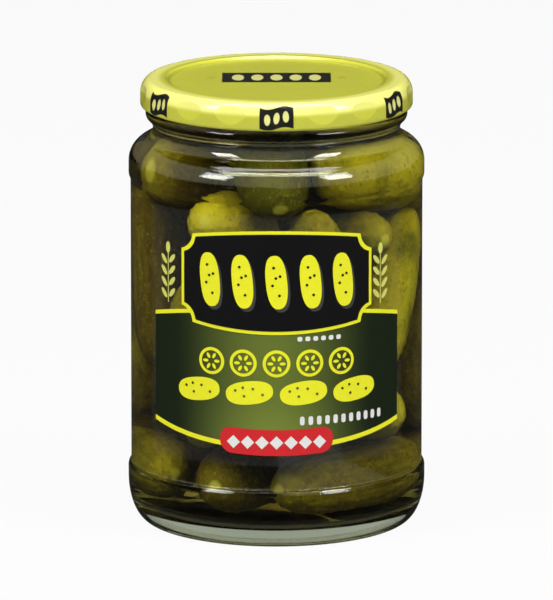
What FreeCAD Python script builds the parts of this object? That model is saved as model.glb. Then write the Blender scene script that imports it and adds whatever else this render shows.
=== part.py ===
"""Pickle jar: a round clear glass jar with a twist-off steel lid, a film label and its brine.

Millimetres, +Z up. The origin is the centre of the ring that the jar stands on, and the
label faces -Y. Every round piece is a profile in the half-plane of radius and height,
turned about the Z axis.
"""

import math
import os

import FreeCAD
import Part

# Jar, outside
JAR_HEIGHT = 139.85        # standing ring to the top of the glass rim
PANEL_RADIUS = 45.6        # recessed band that carries the label
BASE_BULGE = 0.9           # how far the bands below and above stand out from the panel
SHOULDER_BULGE = 0.6
BASE_BULGE_TOP = 17.0      # height where the lower band ends
BULGE_BLEND = 2.5          # height that each band takes to run into the panel
SHOULDER_BAND = 3.6        # straight height of the upper band

# Base
STANDING_WIDTH = 1.6       # flat ring that touches the table
PUSH_UP = 3.2              # rise of the domed underside
HEEL_ACROSS = 6.7          # rounded heel, from the side of the jar to the standing ring
HEEL_HEIGHT = 13.9
FLOOR_HEIGHT = 6.0         # inside of the base, at its lowest
FLOOR_DOME = 1.2
FLOOR_CORNER = 9.0

# Wall, shoulder and neck
WALL = 2.4
SHOULDER_ROUND = 7.5
SHOULDER_SWEEP = 70.0      # degrees that the shoulder turns from upright
NECK_RADIUS = 38.6         # narrowest outside of the neck
NECK_ROUND = 3.6
BEAD_PROUD = 2.25          # glass ring just below the lid, out from the neck
BEAD_ROUND = 2.0
RIM_PROUD = 0.8            # outside of the mouth, inside the lid, out from the neck
RIM_EDGE = 1.0
NECK_TO_RIM = 14.72        # height from the narrowest neck to the top of the rim

# Lid
LID_WALL = 0.8
LID_CLEARANCE = 2.3        # lid wall to the mouth, room for the thread lugs
SKIRT_DROP = 7.75          # top of the rim to the lower edge of the lid
LID_CORNER_OUT = 3.2       # rounded upper edge, across and down
LID_CORNER_DOWN = 4.7
TOP_RECESS = 0.8           # sunk disc in the middle of the lid
RECESS_GAP = 1.6           # sunk disc to the mouth of the jar
RECESS_SLOPE = 1.0
CURL = 0.85                # radius of the rolled lower edge
FLUTES = 18
FLUTE_DEPTH = 0.4          # at the upper end; it runs out at the curl
FLUTE_ROUND = 60.0         # radius of the tool that presses a flute

# Contents and label
HEADSPACE = 8.35           # top of the rim down to the brine
LABEL_LENGTH = 92.0        # round the jar
LABEL_THICKNESS = 0.1
LABEL_TOP_MARGIN = 2.4     # bare glass between the label and the ends of the panel
LABEL_BASE_MARGIN = 7.5

# Worked out from the sizes above
AXIS = FreeCAD.Vector(0, 0, 1)
BASE_RADIUS = PANEL_RADIUS + BASE_BULGE
STANDING_RADIUS = BASE_RADIUS - HEEL_ACROSS
SHOULDER_RADIUS = PANEL_RADIUS + SHOULDER_BULGE
PANEL_BASE = BASE_BULGE_TOP + BULGE_BLEND
NECK_HEIGHT = JAR_HEIGHT - NECK_TO_RIM
MOUTH_RADIUS = NECK_RADIUS - WALL
BEAD_RADIUS = NECK_RADIUS + BEAD_PROUD
RIM_RADIUS = NECK_RADIUS + RIM_PROUD
SWEEP = math.radians(SHOULDER_SWEEP)
SHOULDER_RUN = (
    SHOULDER_RADIUS - SHOULDER_ROUND - NECK_RADIUS - NECK_ROUND
    + (SHOULDER_ROUND + NECK_ROUND) * math.cos(SWEEP)
) / math.sin(SWEEP)
SHOULDER_HEIGHT = (
    NECK_HEIGHT
    - (SHOULDER_ROUND + NECK_ROUND) * math.sin(SWEEP)
    - SHOULDER_RUN * math.cos(SWEEP)
)
PANEL_TOP = SHOULDER_HEIGHT - SHOULDER_BAND - BULGE_BLEND
LID_RADIUS = RIM_RADIUS + LID_CLEARANCE + LID_WALL
LID_TOP = JAR_HEIGHT + LID_WALL
SKIRT_BASE = JAR_HEIGHT - SKIRT_DROP
RECESS_RADIUS = MOUTH_RADIUS - RECESS_GAP - LID_WALL
BRINE_LEVEL = JAR_HEIGHT - HEADSPACE
LABEL_BASE = PANEL_BASE + LABEL_BASE_MARGIN
LABEL_TOP = PANEL_TOP - LABEL_TOP_MARGIN


def at(radius, height):
    """Point in the half-plane that the profiles are drawn in."""
    return FreeCAD.Vector(radius, 0, height)


def straight(start, end):
    """Straight edge between two (radius, height) points."""
    return Part.LineSegment(at(*start), at(*end)).toShape()


def arc(centre, radius, start, end):
    """Arc about a (radius, height) centre; angles in radians from straight outwards."""
    points = [
        at(centre[0] + radius * math.cos(angle), centre[1] + radius * math.sin(angle))
        for angle in (start, (start + end) / 2, end)
    ]
    return Part.Arc(*points).toShape()


def quarter_oval(centre, across, up):
    """Quarter of an oval from straight above or below its centre to straight outwards."""
    upright = at(centre[0], centre[1] + up)
    level = at(centre[0] + across, centre[1])
    long_end, short_end = (upright, level) if abs(up) > across else (level, upright)
    return Part.ArcOfEllipse(Part.Ellipse(long_end, short_end, at(*centre)), 0, math.pi / 2).toShape()


def blend(lower, upper):
    """Two equal arcs, upright at both ends, that carry a wall from one radius to another."""
    step = upper[0] - lower[0]
    rise = upper[1] - lower[1]
    radius = (rise**2 + step**2) / (4 * abs(step))
    turn = math.asin(rise / (2 * radius))
    if step > 0:
        first = arc((lower[0] + radius, lower[1]), radius, math.pi, math.pi - turn)
        second = arc((upper[0] - radius, upper[1]), radius, -turn, 0)
    else:
        first = arc((lower[0] - radius, lower[1]), radius, 0, turn)
        second = arc((upper[0] + radius, upper[1]), radius, math.pi + turn, math.pi)
    return [first, second]


def wall_edges(inset):
    """Side of the jar from the lower band up to the neck, moved inwards by inset."""
    base = BASE_RADIUS - inset
    panel = PANEL_RADIUS - inset
    band = SHOULDER_RADIUS - inset
    band_base = SHOULDER_HEIGHT - SHOULDER_BAND
    shoulder = (SHOULDER_RADIUS - SHOULDER_ROUND, SHOULDER_HEIGHT)
    neck = (NECK_RADIUS + NECK_ROUND, NECK_HEIGHT)
    outwards = (math.cos(SWEEP), math.sin(SWEEP))
    round_over = SHOULDER_ROUND - inset
    round_in = NECK_ROUND + inset
    run_start = (shoulder[0] + round_over * outwards[0], shoulder[1] + round_over * outwards[1])
    run_end = (neck[0] - round_in * outwards[0], neck[1] - round_in * outwards[1])
    return [
        *blend((base, BASE_BULGE_TOP), (panel, PANEL_BASE)),
        straight((panel, PANEL_BASE), (panel, PANEL_TOP)),
        *blend((panel, PANEL_TOP), (band, band_base)),
        straight((band, band_base), (band, SHOULDER_HEIGHT)),
        arc(shoulder, round_over, 0, SWEEP),
        straight(run_start, run_end),
        arc(neck, round_in, math.pi + SWEEP, math.pi),
    ]


def dome_edge(rise, base_height, reach):
    """Shallow dome from the axis, rise above base_height, out to the radius reach."""
    radius = (reach**2 + rise**2) / (2 * rise)
    centre = base_height + rise - radius
    return arc((0, centre), radius, math.pi / 2, math.pi / 2 - math.asin(reach / radius))


def turned(edges):
    """Solid from a chain of edges that starts and ends on the Z axis."""
    wire = Part.Wire(Part.__sortEdges__(edges))
    return Part.Face(wire).revolve(FreeCAD.Vector(0, 0, 0), AXIS, 360)


def inner_floor():
    """Inside of the base: a shallow dome, a rounded corner and the foot of the wall."""
    wall = BASE_RADIUS - WALL
    corner = wall - FLOOR_CORNER
    return [
        dome_edge(FLOOR_DOME, FLOOR_HEIGHT, corner),
        arc((corner, FLOOR_HEIGHT + FLOOR_CORNER), FLOOR_CORNER, -math.pi / 2, 0),
        straight((wall, FLOOR_HEIGHT + FLOOR_CORNER), (wall, BASE_BULGE_TOP)),
    ]


def inside_up_to(height):
    """Everything inside the glass up to a height in the neck or above it."""
    return turned([
        *inner_floor(),
        *wall_edges(WALL),
        straight((MOUTH_RADIUS, NECK_HEIGHT), (MOUTH_RADIUS, height)),
        straight((MOUTH_RADIUS, height), (0, height)),
        straight((0, height), (0, FLOOR_HEIGHT + FLOOR_DOME)),
    ])


def glass_jar():
    """Jar with its standing ring, heel, label panel, shoulder, neck, bead and rounded rim."""
    neck = (NECK_RADIUS + NECK_ROUND, NECK_HEIGHT)
    bead_centre = BEAD_RADIUS - BEAD_ROUND
    tilt = math.acos((neck[0] - bead_centre) / (NECK_ROUND + BEAD_ROUND))
    bead = (bead_centre, NECK_HEIGHT + (NECK_ROUND + BEAD_ROUND) * math.sin(tilt))
    bead_end = math.acos((RIM_RADIUS - bead_centre) / BEAD_ROUND)
    bead_top = bead[1] + BEAD_ROUND * math.sin(bead_end)
    edge_height = JAR_HEIGHT - RIM_EDGE
    outside = turned([
        dome_edge(PUSH_UP, 0, STANDING_RADIUS - STANDING_WIDTH),
        straight((STANDING_RADIUS - STANDING_WIDTH, 0), (STANDING_RADIUS, 0)),
        quarter_oval((STANDING_RADIUS, HEEL_HEIGHT), HEEL_ACROSS, -HEEL_HEIGHT),
        straight((BASE_RADIUS, HEEL_HEIGHT), (BASE_RADIUS, BASE_BULGE_TOP)),
        *wall_edges(0),
        arc(neck, NECK_ROUND, math.pi, math.pi - tilt),
        arc(bead, BEAD_ROUND, -tilt, bead_end),
        straight((RIM_RADIUS, bead_top), (RIM_RADIUS, edge_height)),
        arc((RIM_RADIUS - RIM_EDGE, edge_height), RIM_EDGE, 0, math.pi / 2),
        straight((RIM_RADIUS - RIM_EDGE, JAR_HEIGHT), (0, JAR_HEIGHT)),
        straight((0, JAR_HEIGHT), (0, PUSH_UP)),
    ])
    mouth_edge = turned([
        straight((0, edge_height), (MOUTH_RADIUS, edge_height)),
        arc((MOUTH_RADIUS + RIM_EDGE, edge_height), RIM_EDGE, math.pi, math.pi / 2),
        straight((MOUTH_RADIUS + RIM_EDGE, JAR_HEIGHT), (0, JAR_HEIGHT)),
        straight((0, JAR_HEIGHT), (0, edge_height)),
    ])
    return outside.cut(inside_up_to(JAR_HEIGHT)).cut(mouth_edge)


def fluted(blank):
    """The lid's outside with shallow flutes, deepest at the upper end, pressed into the skirt."""
    upper_end = LID_TOP - LID_CORNER_DOWN
    lower_end = SKIRT_BASE + 2 * CURL
    lean = math.degrees(math.atan(FLUTE_DEPTH / (upper_end - lower_end)))
    reach = LID_TOP - SKIRT_BASE
    tool = Part.makeCylinder(FLUTE_ROUND, 3 * reach, at(LID_RADIUS + FLUTE_ROUND, lower_end - reach))
    tool.rotate(at(LID_RADIUS, lower_end), FreeCAD.Vector(0, 1, 0), -lean)
    for flute in range(FLUTES):
        cutter = tool.copy()
        cutter.rotate(FreeCAD.Vector(0, 0, 0), AXIS, 360 * flute / FLUTES - 90)
        blank = blank.cut(cutter)
    return blank


def twist_lid():
    """Pressed steel lid: sunk disc, raised ring over the rim, fluted skirt and rolled edge."""
    corner = LID_RADIUS - LID_CORNER_OUT
    corner_height = LID_TOP - LID_CORNER_DOWN
    recess_floor = LID_TOP - TOP_RECESS
    curl_height = SKIRT_BASE + CURL
    blank = turned([
        straight((0, curl_height), (0, recess_floor)),
        straight((0, recess_floor), (RECESS_RADIUS, recess_floor)),
        straight((RECESS_RADIUS, recess_floor), (RECESS_RADIUS + RECESS_SLOPE, LID_TOP)),
        straight((RECESS_RADIUS + RECESS_SLOPE, LID_TOP), (corner, LID_TOP)),
        quarter_oval((corner, corner_height), LID_CORNER_OUT, LID_CORNER_DOWN),
        straight((LID_RADIUS, corner_height), (LID_RADIUS, curl_height)),
        straight((LID_RADIUS, curl_height), (0, curl_height)),
    ])
    inner = LID_RADIUS - LID_WALL
    under_ring = LID_TOP - LID_WALL
    under_recess = recess_floor - LID_WALL
    slope_out = RECESS_RADIUS + LID_WALL + RECESS_SLOPE
    inner_corner = corner - LID_WALL / 2
    corner_drop = under_ring - corner_height
    hollow = turned([
        straight((0, SKIRT_BASE), (0, under_recess)),
        straight((0, under_recess), (RECESS_RADIUS + LID_WALL, under_recess)),
        straight((RECESS_RADIUS + LID_WALL, under_recess), (slope_out, under_ring)),
        straight((slope_out, under_ring), (inner_corner, under_ring)),
        quarter_oval((inner_corner, corner_height), inner - inner_corner, corner_drop),
        straight((inner, corner_height), (inner, SKIRT_BASE)),
        straight((inner, SKIRT_BASE), (0, SKIRT_BASE)),
    ])
    rolled_edge = Part.makeTorus(LID_RADIUS - CURL, CURL, at(0, curl_height))
    return fluted(blank).cut(hollow).fuse(rolled_edge).removeSplitter()


def label_film():
    """Thin clear film wrapped round the front of the panel, facing -Y."""
    height = LABEL_TOP - LABEL_BASE
    spread = math.degrees(LABEL_LENGTH / PANEL_RADIUS)
    foot = at(0, LABEL_BASE)
    outer = Part.makeCylinder(PANEL_RADIUS + LABEL_THICKNESS, height, foot, AXIS, spread)
    film = outer.cut(Part.makeCylinder(PANEL_RADIUS, height, foot))
    film.rotate(FreeCAD.Vector(0, 0, 0), AXIS, -90 - spread / 2)
    return film


def save(node, shape):
    """Check that the shape is one sound solid and write it to parts/NODE.step."""
    solid = shape if shape.ShapeType == "Solid" else shape.Solids[0]
    if len(shape.Solids) != 1 or not solid.isValid():
        raise ValueError(f"{node} is not one valid solid")
    solid.exportStep(f"parts/{node}.step")
    box = solid.BoundBox
    print(f"{node}: {solid.Volume / 1000:.1f} ml, {box.XLength:.2f} x {box.YLength:.2f} x "
          f"{box.ZLength:.2f} mm, from height {box.ZMin:.2f}")


os.makedirs("parts", exist_ok=True)
save("glass_jar", glass_jar())
save("brine", inside_up_to(BRINE_LEVEL))
save("twist_lid", twist_lid())
save("label_film", label_film())
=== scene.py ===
"""A pickle jar: clear glass, brine, gherkins, an enamelled twist lid and a printed clear label.

The packed CAD model is the frame. Every piece is in metres and rides on its one body, "root".
"""

import math
from collections import namedtuple

import bmesh
import bpy
import numpy as np
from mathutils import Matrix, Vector
from mathutils.bvhtree import BVHTree


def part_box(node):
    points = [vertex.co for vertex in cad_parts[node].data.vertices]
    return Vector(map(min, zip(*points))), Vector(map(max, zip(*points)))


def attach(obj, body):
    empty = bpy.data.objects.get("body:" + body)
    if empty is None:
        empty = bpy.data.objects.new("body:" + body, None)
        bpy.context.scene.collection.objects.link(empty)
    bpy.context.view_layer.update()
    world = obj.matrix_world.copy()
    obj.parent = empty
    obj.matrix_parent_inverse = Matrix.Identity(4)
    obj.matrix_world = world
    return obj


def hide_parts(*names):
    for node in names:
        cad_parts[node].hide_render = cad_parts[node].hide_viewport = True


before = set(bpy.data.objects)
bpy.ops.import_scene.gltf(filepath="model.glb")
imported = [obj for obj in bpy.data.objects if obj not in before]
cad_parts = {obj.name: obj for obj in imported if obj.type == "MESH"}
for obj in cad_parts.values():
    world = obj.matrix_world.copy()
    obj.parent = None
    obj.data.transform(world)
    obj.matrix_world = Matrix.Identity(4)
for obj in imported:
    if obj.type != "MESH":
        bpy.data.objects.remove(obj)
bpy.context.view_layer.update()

bl_info = {
    "name": "Pickle Jar",
    "version": (1, 0, 0),
    "blender": (4, 5, 0),
    "location": "3D View > Sidebar > Pickle Jar",
    "description": "Finishes a jar of gherkins with a twist lid and a printed clear label",
    "category": "Object",
}

MM = 0.001
PANEL_HALF = 43.9  # half the green panel's length around the jar, in millimetres
JAR_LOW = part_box("glass_jar")[0]
LID_LOW, LID_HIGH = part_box("twist_lid")
FILM_RADIUS = -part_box("label_film")[0].y
LID_RADIUS = LID_HIGH.x
INNER_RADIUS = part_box("brine")[1].x / MM


# ---- sizes and colours ----


def a_colour(name, note, default):
    """A colour on a panel."""
    return bpy.props.FloatVectorProperty(
        name=name, description=note, subtype="COLOR", size=3, min=0.0, max=1.0, default=default
    )


def a_length(name, note, default):
    """A length on a panel; default is in metres."""
    return bpy.props.FloatProperty(name=name, description=note, unit="LENGTH", default=default)


def an_angle(name, note, degrees):
    """An angle on a panel."""
    return bpy.props.FloatProperty(
        name=name, description=note, unit="ROTATION", default=math.radians(degrees)
    )


def a_number(name, note, default):
    """A plain number on a panel, zero or more."""
    return bpy.props.FloatProperty(name=name, description=note, min=0.0, default=default)


class JarLooks(bpy.types.PropertyGroup):
    """Glass and brine."""

    glass_colour: a_colour("Glass colour", "Tint of the glass", (0.97, 0.985, 0.975))
    glass_deep: a_colour("Deep glass", "Colour that deep glass tends to", (0.62, 0.65, 0.56))
    glass_depth: a_number("Glass depth", "How fast the glass darkens, per metre", 34.0)
    brine_colour: a_colour(
        "Brine colour", "Tint that light takes at the brine's surface", (0.95, 0.925, 0.60)
    )
    murk_colour: a_colour("Murk colour", "Colour that deep brine tends to", (0.68, 0.62, 0.26))
    murk: a_number("Murk", "How fast the brine darkens with depth, per metre", 64.0)
    reach: a_length(
        "Reach into the wall",
        "How far the brine goes into the glass, so that no air gap shows",
        0.15 * MM,
    )


class GherkinLooks(bpy.types.PropertyGroup):
    """Gherkins."""

    dark: a_colour("Dark skin", "Colour of the darkest gherkins", (0.087, 0.059, 0.005))
    light: a_colour("Light skin", "Colour of the palest gherkins", (0.45, 0.404, 0.024))
    green: a_colour("Green mottle", "Colour of the green patches", (0.058, 0.068, 0.007))
    brown: a_colour("Brown mottle", "Colour of the brown patches", (0.062, 0.036, 0.005))
    speck: a_colour("Speck", "Colour of the fine dark specks", (0.035, 0.030, 0.004))
    wart: a_colour("Wart", "Colour of the tops of the warts", (0.030, 0.022, 0.004))
    tip: a_colour("Tip", "Colour of the pale scar at each end", (0.46, 0.44, 0.07))
    wart_spacing: a_length("Wart spacing", "Least distance between two warts", 2.8 * MM)
    wart_width: a_length("Wart width", "Radius of a wart at its foot", 1.45 * MM)
    wart_height: a_length("Wart height", "How far a wart stands up", 0.36 * MM)
    seed: bpy.props.IntProperty(
        name="Seed", description="Fixes everything random about the gherkins", default=7
    )


class LidLooks(bpy.types.PropertyGroup):
    """Twist lid."""

    enamel: a_colour("Enamel", "Colour of the enamel", (0.572, 0.577, 0.058))
    cloud: a_colour("Clouded enamel", "Colour of broad faint clouds in it", (0.61, 0.62, 0.050))
    # Painted highlight: this pale colour on the rounded corner stands in for a lamp's sheen there.
    corner: a_colour("Corner enamel", "Colour of the enamel on the corner", (0.88, 0.87, 0.22))
    # Painted shade: this darker colour stands in for the shade in the step round the disc; the two
    # faint dots beside the bar take the same grey.
    groove: a_colour("Groove", "Colour in the step round the disc", (0.30, 0.30, 0.022))
    ink: a_colour("Ink", "Colour of the printed patches", (0.012, 0.012, 0.010))
    marks: a_colour("Marks", "Colour of the shapes on the patches", (0.72, 0.72, 0.24))
    bar_width: a_length("Bar width", "Width of the bar on the disc", 34.0 * MM)
    bar_depth: a_length("Bar depth", "Depth of the bar on the disc", 15.0 * MM)
    bar_back: a_length("Bar set back", "How far behind the middle the bar lies", 3.8 * MM)
    flags: bpy.props.IntProperty(
        name="Flags", description="Number of printed flags on the skirt", default=6, min=1
    )
    flag_width: a_length("Flag width", "Width of a flag along the skirt", 10.6 * MM)
    flag_height: a_length("Flag height", "Height of a flag on the skirt", 6.4 * MM)


class LabelLooks(bpy.types.PropertyGroup):
    """Printed label."""

    green: a_colour("Panel green", "Colour of the panel at its middle", (0.19, 0.25, 0.030))
    green_edge: a_colour(
        "Panel edge green", "Colour of the green panel at its sides", (0.010, 0.018, 0.006)
    )
    yellow: a_colour("Yellow ink", "Colour of the rules, borders and shapes", (0.87, 0.86, 0.012))
    black: a_colour("Black ink", "Colour of the plaque", (0.006, 0.006, 0.007))
    red: a_colour("Red ink", "Colour of the small band at the panel's foot", (0.68, 0.013, 0.018))
    white: a_colour("White ink", "Colour of the small marks", (0.80, 0.80, 0.78))
    grey: a_colour("Grey ink", "Colour of the shadows on the plaque", (0.055, 0.055, 0.050))
    pale: a_colour("Pale ink", "Colour of the two sprigs", (0.68, 0.68, 0.15))
    panel_reach: a_length("Panel reach", "Half the panel's length around the jar", PANEL_HALF * MM)
    plaque_reach: a_length("Plaque reach", "Half the plaque's length around the jar", 30.7 * MM)
    border: a_length("Border", "Width of the yellow line around the plaque", 1.05 * MM)


class StageLooks(bpy.types.PropertyGroup):
    """Floor, lamps and camera."""

    floor_radius: a_length("Floor radius", "Radius of the floor", 4.0)
    sky: a_number("Sky", "Strength of the even light from all round", 0.16)
    lamp_power: a_number("Lamp power", "Power of each soft side lamp, in watts", 4.3)
    top_power: a_number("Top lamp power", "Power of the long soft lamp overhead, in watts", 10.4)
    top_rise: an_angle("Top lamp elevation", "How high the long lamp stands", 74.0)
    lamp_side: an_angle("Side lamp bearing", "How far round from the front each lamp stands", 54.0)
    lamp_rise: an_angle("Side lamp elevation", "How high each side lamp stands", 37.0)
    camera_drop: an_angle("Camera pitch", "How far the camera looks down", 12.7)


# ---- node trees ----


class Wire:
    """One socket, so that node maths reads as ordinary arithmetic."""

    def __init__(self, board, socket):
        self.board = board
        self.socket = socket

    def __neg__(self):
        return self.board.maths("MULTIPLY", self, -1.0)

    def __abs__(self):
        return self.board.maths("ABSOLUTE", self)

    def also(self, name):
        """Another output of the same node."""
        return Wire(self.board, self.socket.node.outputs[name])

    def ramp(self, low, high):
        """0 below low, 1 above high, and a smooth turn between."""
        return self.board.node(
            "ShaderNodeMapRange",
            {"interpolation_type": "SMOOTHSTEP", "clamp": True},
            {"Value": self, "From Min": low, "From Max": high, "To Min": 0.0, "To Max": 1.0},
        )

    def within(self, limit, soft):
        """1 below the limit and 0 above it, with a soft edge."""
        return 1.0 - self.ramp(limit - soft, limit + soft)


def operators(operation):
    """A maths operation as an operator, and the same one reflected."""
    return (
        lambda wire, other: wire.board.maths(operation, wire, other),
        lambda wire, other: wire.board.maths(operation, other, wire),
    )


for title, operation in (
    ("add", "ADD"), ("sub", "SUBTRACT"), ("mul", "MULTIPLY"), ("truediv", "DIVIDE")
):
    plain, reflected = operators(operation)
    setattr(Wire, f"__{title}__", plain)
    setattr(Wire, f"__r{title}__", reflected)


class Board:
    """A node tree that is written as expressions."""

    def __init__(self, tree):
        self.tree = tree

    def node(self, kind, settings=None, values=None, pick=0):
        """Adds a node, with its settings first, and returns one of its outputs."""
        made = self.tree.nodes.new(kind)
        for name, setting in (settings or {}).items():
            setattr(made, name, setting)
        for name, value in (values or {}).items():
            self.feed(made.inputs[name], value)
        return Wire(self, made.outputs[pick]) if len(made.outputs) else made

    def feed(self, socket, value):
        """Links a wire to a socket, or sets the socket's own value."""
        if isinstance(value, Wire):
            self.tree.links.new(value.socket, socket)
        elif socket.type == "VECTOR" and isinstance(value, (int, float)):
            socket.default_value = (value, value, value)
        elif socket.type == "RGBA" and len(value) == 3:
            socket.default_value = (*value, 1.0)
        else:
            socket.default_value = value

    def maths(self, operation, *values):
        """A Math node, or a Vector Math node where a vector takes part."""
        vectors = [v for v in values if isinstance(v, Wire) and v.socket.type == "VECTOR"]
        kind = "ShaderNodeVectorMath" if vectors else "ShaderNodeMath"
        return self.node(kind, {"operation": operation}, dict(enumerate(values)))

    def least(self, a, b):
        return self.maths("MINIMUM", a, b)

    def most(self, a, b):
        return self.maths("MAXIMUM", a, b)

    def length(self, vector):
        return self.node("ShaderNodeVectorMath", {"operation": "LENGTH"}, {0: vector}, "Value")

    def mix(self, a, b, factor):
        """A colour between two colours."""
        settings = {"data_type": "RGBA", "clamp_factor": True}
        return self.node("ShaderNodeMix", settings, {0: factor, 6: a, 7: b}, 2)

    def split(self, vector):
        x = self.node("ShaderNodeSeparateXYZ", None, {0: vector})
        return x, x.also("Y"), x.also("Z")

    def join(self, x, y, z):
        return self.node("ShaderNodeCombineXYZ", None, {0: x, 1: y, 2: z})

    def noise(self, vector, scale, detail=3.0, roughness=0.5):
        values = {"Vector": vector, "Scale": scale, "Detail": detail, "Roughness": roughness}
        return self.node("ShaderNodeTexNoise", None, values, "Fac")


def new_material(name):
    """An empty material and the board for its nodes."""
    material = bpy.data.materials.new(name)
    material.use_nodes = True
    material.node_tree.nodes.clear()
    return material, Board(material.node_tree)


def surface(board, shader, volume=None):
    """Puts a shader on the material's output."""
    values = {"Surface": shader}
    if volume is not None:
        values["Volume"] = volume
    board.node("ShaderNodeOutputMaterial", None, values)


def opaque(board, values):
    """Puts an opaque surface on the material's output."""
    surface(board, board.node("ShaderNodeBsdfPrincipled", None, values))


def place(board):
    """Position on the object, in millimetres."""
    return board.node("ShaderNodeTexCoord", pick="Object") * (1.0 / MM)


def bump(board, height, distance, strength=1.0):
    """A Bump node's normal; height is 0 to 1 and distance is in metres."""
    return board.node(
        "ShaderNodeBump", None, {"Strength": strength, "Distance": distance, "Height": height}
    )


def clear_body(board, colour, roughness, ior, normal=None):
    """A refracting body that still lets lamplight through to what it holds."""
    values = {
        "Base Color": colour,
        "Roughness": roughness,
        "IOR": ior,
        "Transmission Weight": 1.0,
    }
    if normal is not None:
        values["Normal"] = normal
    body = board.node("ShaderNodeBsdfPrincipled", None, values)
    open_way = board.node("ShaderNodeBsdfTransparent", None, {"Color": colour})
    lamp_ray = board.node("ShaderNodeLightPath", pick="Is Shadow Ray")
    return board.node("ShaderNodeMixShader", None, {0: lamp_ray, 1: body, 2: open_way})


# ---- meshes ----


def new_piece(name, points, faces, material=None, smooth=True):
    """A mesh object from points in metres."""
    mesh = bpy.data.meshes.new(name)
    mesh.from_pydata([tuple(p) for p in points], [], [tuple(f) for f in faces])
    mesh.polygons.foreach_set("use_smooth", [smooth] * len(mesh.polygons))
    mesh.update()
    piece = bpy.data.objects.new(name, mesh)
    bpy.context.scene.collection.objects.link(piece)
    if material is not None:
        mesh.materials.append(material)
    return piece


def through_nodes(piece, tree, values):
    """Runs a Geometry Nodes tree on a piece and keeps the plain mesh that it makes."""
    modifier = piece.modifiers.new(tree.name, "NODES")
    modifier.node_group = tree
    for item in tree.interface.items_tree:
        if item.item_type == "SOCKET" and item.in_out == "INPUT" and item.name in values:
            modifier[item.identifier] = values[item.name]
    graph = bpy.context.evaluated_depsgraph_get()
    made = bpy.data.meshes.new_from_object(
        piece.evaluated_get(graph), preserve_all_data_layers=True, depsgraph=graph
    )
    piece.modifiers.remove(modifier)
    plain = piece.data
    piece.data = made
    made.name = plain.name
    bpy.data.meshes.remove(plain)
    if not len(made.polygons):
        raise RuntimeError("the nodes left nothing of " + piece.name)
    return piece


def new_tree(name, **sizes):
    """A Geometry Nodes tree with named inputs, each with its socket type."""
    tree = bpy.data.node_groups.new(name, "GeometryNodeTree")
    tree.interface.new_socket("Geometry", in_out="INPUT", socket_type="NodeSocketGeometry")
    for title, kind in sizes.items():
        tree.interface.new_socket(title, in_out="INPUT", socket_type="NodeSocket" + kind)
    tree.interface.new_socket("Geometry", in_out="OUTPUT", socket_type="NodeSocketGeometry")
    board = Board(tree)
    return tree, board, board.node("NodeGroupInput")


def end_tree(board, geometry, material):
    """Ends a tree in Realize Instances and Set Material."""
    real = board.node("GeometryNodeRealizeInstances", None, {"Geometry": geometry})
    dressed = board.node("GeometryNodeSetMaterial", None, {"Geometry": real, "Material": material})
    board.node("NodeGroupOutput", None, {0: dressed})


WART_DENSITY = 160000.0  # most warts per square metre, before the spacing thins them


def warty_tree():
    """Sets warts over a skin, each a soft dome, and keeps their shape as an attribute."""
    tree, board, given = new_tree(
        "Warty skin", Spacing="Float", Width="Float", Height="Float", Seed="Int", Material="Material"
    )
    skin = given.also("Geometry")
    dots = board.node(
        "GeometryNodeDistributePointsOnFaces",
        {"distribute_method": "POISSON"},
        {
            "Mesh": skin,
            "Distance Min": given.also("Spacing"),
            "Density Max": WART_DENSITY,
            "Seed": given.also("Seed"),
        },
    )
    here = board.node("GeometryNodeInputPosition")
    away = board.node("GeometryNodeProximity", {"target_element": "POINTS"}, {0: dots}, "Distance")
    patchy = board.noise(here, 95.0, 2.0)
    size = given.also("Width") * (0.30 + patchy * 1.2)
    dome = 1.0 - (away / size).ramp(0.0, 1.0)
    normal = board.node("GeometryNodeInputNormal")
    lift = dome * given.also("Height") * (0.2 + patchy * 1.6)
    raised = board.node("GeometryNodeSetPosition", None, {"Geometry": skin, "Offset": normal * lift})
    marked = board.node(
        "GeometryNodeStoreNamedAttribute",
        {"data_type": "FLOAT", "domain": "POINT"},
        {"Geometry": raised, "Name": "wart", "Value": dome},
    )
    end_tree(board, marked, given.also("Material"))
    return tree


def bend(board, given, shape, level=0.0):
    """Bends flat artwork round the jar: x runs along the arc, y is height, z stands off."""
    x, y, z = board.split(board.node("GeometryNodeInputPosition"))
    radius = given.also("Radius")
    angle = x / radius
    out = radius + z
    side = out * board.maths("SINE", angle)
    bent = board.join(side, -(out * board.maths("COSINE", angle)), y + level)
    values = {"Geometry": shape, "Position": bent}
    end_tree(board, board.node("GeometryNodeSetPosition", None, values), given.also("Material"))


def wrap_tree():
    """Wraps one flat piece of artwork round the jar."""
    tree, board, given = new_tree("Wrap round the jar", Radius="Float", Material="Material")
    bend(board, given, given.also("Geometry"))
    return tree


def row_tree():
    """Repeats one printed shape along a level row, then bends the row round the jar."""
    tree, board, given = new_tree(
        "Row round the jar",
        Count="Int",
        Pitch="Float",
        Level="Float",
        Radius="Float",
        Material="Material",
    )
    count = given.also("Count")
    pitch = given.also("Pitch")
    first = (count - 1.0) * pitch * -0.5
    spots = board.node(
        "GeometryNodeMeshLine",
        {"mode": "OFFSET"},
        {
            "Count": count,
            "Start Location": board.join(first, 0.0, 0.0),
            "Offset": board.join(pitch, 0.0, 0.0),
        },
    )
    copies = board.node(
        "GeometryNodeInstanceOnPoints", None, {"Points": spots, "Instance": given.also("Geometry")}
    )
    real = board.node("GeometryNodeRealizeInstances", None, {"Geometry": copies})
    bend(board, given, real, given.also("Level"))
    return tree


# ---- glass and brine ----


GLASS_IOR = 1.5
GLASS_POLISH = 0.015  # roughness of the moulded glass
BRINE_IOR = 1.33


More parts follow.
